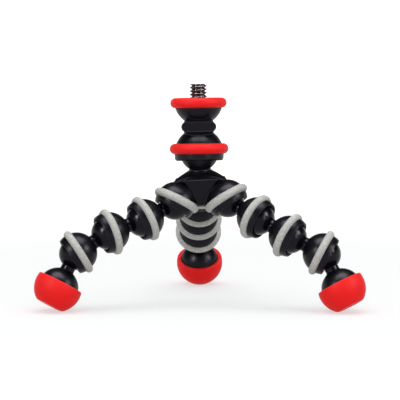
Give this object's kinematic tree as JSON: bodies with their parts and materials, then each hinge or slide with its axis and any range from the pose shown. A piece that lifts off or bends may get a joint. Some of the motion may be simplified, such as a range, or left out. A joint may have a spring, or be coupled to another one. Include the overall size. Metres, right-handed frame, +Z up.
{
  "type": "flexible leg tripod",
  "caption": "Small flexible tripod: ball-jointed legs with grey rubber rings and red magnetic boots, and a ball head with a camera screw and red pad.",
  "frame": {"origin": "on the floor, under the middle of the tripod as it stands in the pictured pose", "axes": "+Z up, +X to the right of the picture, across the two front legs, -Y towards the camera that took it"},
  "size_m": [0.1202, 0.094, 0.0815],
  "materials": {
    "black_plastic": "satin to glossy moulded plastic",
    "liner_plastic": "smooth low-friction plastic",
    "rubber_grey": "matte light grey rubber",
    "rubber_red": "satin red rubber",
    "steel": "bright plated steel",
    "magnet_metal": "plated magnet"
  },
  "bodies": {
    "hub": {"hub_body": "black_plastic", "left_hub_ring": "rubber_grey", "right_hub_ring": "rubber_grey", "rear_hub_ring": "rubber_grey"},
    "left_cradle_1": {"left_liner_1": "liner_plastic"},
    "left_segment_1": {"left_link_1": "black_plastic", "left_ring_1": "rubber_grey"},
    "left_cradle_2": {"left_liner_2": "liner_plastic"},
    "left_segment_2": {"left_link_2": "black_plastic", "left_ring_2": "rubber_grey"},
    "left_cradle_3": {"left_liner_3": "liner_plastic"},
    "left_segment_3": {"left_link_3": "black_plastic", "left_ring_3": "rubber_grey"},
    "left_cradle_4": {"left_liner_4": "liner_plastic"},
    "left_foot": {"left_foot_core": "black_plastic", "left_foot_boot": "rubber_red", "left_foot_magnet": "magnet_metal"},
    "right_cradle_1": {"right_liner_1": "liner_plastic"},
    "right_segment_1": {"right_link_1": "black_plastic", "right_ring_1": "rubber_grey"},
    "right_cradle_2": {"right_liner_2": "liner_plastic"},
    "right_segment_2": {"right_link_2": "black_plastic", "right_ring_2": "rubber_grey"},
    "right_cradle_3": {"right_liner_3": "liner_plastic"},
    "right_segment_3": {"right_link_3": "black_plastic", "right_ring_3": "rubber_grey"},
    "right_cradle_4": {"right_liner_4": "liner_plastic"},
    "right_foot": {"right_foot_core": "black_plastic", "right_foot_boot": "rubber_red", "right_foot_magnet": "magnet_metal"},
    "rear_cradle_1": {"rear_liner_1": "liner_plastic"},
    "rear_segment_1": {"rear_link_1": "black_plastic", "rear_ring_1": "rubber_grey"},
    "rear_cradle_2": {"rear_liner_2": "liner_plastic"},
    "rear_segment_2": {"rear_link_2": "black_plastic", "rear_ring_2": "rubber_grey"},
    "rear_cradle_3": {"rear_liner_3": "liner_plastic"},
    "rear_segment_3": {"rear_link_3": "black_plastic", "rear_ring_3": "rubber_grey"},
    "rear_cradle_4": {"rear_liner_4": "liner_plastic"},
    "rear_foot": {"rear_foot_core": "black_plastic", "rear_foot_boot": "rubber_red", "rear_foot_magnet": "magnet_metal"},
    "head_stud": {"head_ball_stud": "black_plastic"},
    "head_cradle": {"head_liner": "liner_plastic"},
    "head": {"head_housing": "black_plastic", "head_ring": "rubber_red", "camera_pad": "rubber_red", "camera_screw": "steel"}
  },
  "joints": [
    {"name": "left_swivel_1", "type": "hinge", "parent": "hub", "child": "left_cradle_1", "pos_m": [-0.00909, -0.02231, 0.03788], "axis": [-0.4334, -0.2118, -0.876], "continuous": true},
    {"name": "left_bend_1", "type": "hinge", "parent": "left_cradle_1", "child": "left_segment_1", "pos_m": [-0.00909, -0.02231, 0.03788], "axis": [0.3511, -0.9349, 0.0523], "range_deg": [-2.43, 77.57]},
    {"name": "left_swivel_2", "type": "hinge", "parent": "left_segment_1", "child": "left_cradle_2", "pos_m": [-0.02093, -0.02707, 0.03228], "axis": [-0.8496, -0.3415, -0.4019], "continuous": true},
    {"name": "left_bend_2", "type": "hinge", "parent": "left_cradle_2", "child": "left_segment_2", "pos_m": [-0.02093, -0.02707, 0.03228], "axis": [-0.1853, 0.9067, -0.3789], "range_deg": [-46.45, 33.55]},
    {"name": "left_swivel_3", "type": "hinge", "parent": "left_segment_2", "child": "left_cradle_3", "pos_m": [-0.03346, -0.03141, 0.02802], "axis": [-0.8997, -0.3116, -0.3057], "continuous": true},
    {"name": "left_bend_3", "type": "hinge", "parent": "left_cradle_3", "child": "left_segment_3", "pos_m": [-0.03346, -0.03141, 0.02802], "axis": [-0.4247, 0.7867, 0.4481], "range_deg": [-24.11, 55.89]},
    {"name": "left_swivel_4", "type": "hinge", "parent": "left_segment_3", "child": "left_cradle_4", "pos_m": [-0.04513, -0.03355, 0.02072], "axis": [-0.8377, -0.1538, -0.524], "continuous": true},
    {"name": "left_bend_4", "type": "hinge", "parent": "left_cradle_4", "child": "left_foot", "pos_m": [-0.04513, -0.03355, 0.02072], "axis": [0.0633, -0.9804, 0.1865], "range_deg": [-70.13, 9.87]},
    {"name": "right_swivel_1", "type": "hinge", "parent": "hub", "child": "right_cradle_1", "pos_m": [0.01029, -0.02231, 0.0388], "axis": [0.5139, -0.2118, -0.8313], "continuous": true},
    {"name": "right_bend_1", "type": "hinge", "parent": "right_cradle_1", "child": "right_segment_1", "pos_m": [0.01029, -0.02231, 0.0388], "axis": [0.5397, 0.8331, 0.1215], "range_deg": [-7.42, 72.58]},
    {"name": "right_swivel_2", "type": "hinge", "parent": "right_segment_1", "child": "right_cradle_2", "pos_m": [0.02132, -0.02863, 0.03311], "axis": [0.7921, -0.4537, -0.4083], "continuous": true},
    {"name": "right_bend_2", "type": "hinge", "parent": "right_cradle_2", "child": "right_segment_2", "pos_m": [0.02132, -0.02863, 0.03311], "axis": [0.5131, 0.1327, 0.848], "range_deg": [-47.31, 32.69]},
    {"name": "right_swivel_3", "type": "hinge", "parent": "right_segment_2", "child": "right_cradle_3", "pos_m": [0.03286, -0.03334, 0.02687], "axis": [0.8277, -0.3378, -0.448], "continuous": true},
    {"name": "right_bend_3", "type": "hinge", "parent": "right_cradle_3", "child": "right_segment_3", "pos_m": [0.03286, -0.03334, 0.02687], "axis": [-0.4216, 0.1526, -0.8939], "range_deg": [-28.54, 51.46]},
    {"name": "right_swivel_4", "type": "hinge", "parent": "right_segment_3", "child": "right_cradle_4", "pos_m": [0.04518, -0.03538, 0.0207], "axis": [0.8848, -0.1465, -0.4423], "continuous": true},
    {"name": "right_bend_4", "type": "hinge", "parent": "right_cradle_4", "child": "right_foot", "pos_m": [0.04518, -0.03538, 0.0207], "axis": [0.0587, 0.9768, -0.206], "range_deg": [-75.71, 4.29]},
    {"name": "rear_swivel_1", "type": "hinge", "parent": "hub", "child": "rear_cradle_1", "pos_m": [0.00054, -0.00555, 0.03957], "axis": [0.0374, 0.6074, -0.7935], "continuous": true},
    {"name": "rear_bend_1", "type": "hinge", "parent": "rear_cradle_1", "child": "rear_segment_1", "pos_m": [0.00054, -0.00555, 0.03957], "axis": [-0.9736, -0.1566, -0.1658], "range_deg": [-12, 68]},
    {"name": "rear_swivel_2", "type": "hinge", "parent": "rear_segment_1", "child": "rear_cradle_2", "pos_m": [-0.00047, 0.00701, 0.03364], "axis": [-0.0726, 0.9019, -0.4258], "continuous": true},
    {"name": "rear_bend_2", "type": "hinge", "parent": "rear_cradle_2", "child": "rear_segment_2", "pos_m": [-0.00047, 0.00701, 0.03364], "axis": [-0.5255, -0.3974, -0.7523], "range_deg": [-45.2, 34.8]},
    {"name": "rear_swivel_3", "type": "hinge", "parent": "rear_segment_2", "child": "rear_cradle_3", "pos_m": [-0.00041, 0.01931, 0.02709], "axis": [0.0046, 0.8829, -0.4696], "continuous": true},
    {"name": "rear_bend_3", "type": "hinge", "parent": "rear_cradle_3", "child": "rear_segment_3", "pos_m": [-0.00041, 0.01931, 0.02709], "axis": [-0.8693, -0.2286, -0.4383], "range_deg": [-38.38, 41.62]},
    {"name": "rear_swivel_4", "type": "hinge", "parent": "rear_segment_3", "child": "rear_cradle_4", "pos_m": [-0.00054, 0.03177, 0.02086], "axis": [-0.0094, 0.8941, -0.4478], "continuous": true},
    {"name": "rear_bend_4", "type": "hinge", "parent": "rear_cradle_4", "child": "rear_foot", "pos_m": [-0.00054, 0.03177, 0.02086], "axis": [-0.9976, -0.039, -0.057], "range_deg": [-75.43, 4.57]},
    {"name": "head_pan", "type": "hinge", "parent": "hub", "child": "head_stud", "pos_m": [-0.00024, -0.01801, 0.05618], "axis": [-0.047, -0.0732, 0.9962], "continuous": true},
    {"name": "head_tilt", "type": "hinge", "parent": "head_stud", "child": "head_cradle", "pos_m": [-0.00024, -0.01801, 0.05618], "axis": [-0.9785, 0.2037, -0.0312], "range_deg": [-39.3, 20.7]},
    {"name": "head_spin", "type": "hinge", "parent": "head_cradle", "child": "head", "pos_m": [-0.00024, -0.01801, 0.05618], "axis": [-0.014, 0.0854, 0.9962], "continuous": true}
  ]
}
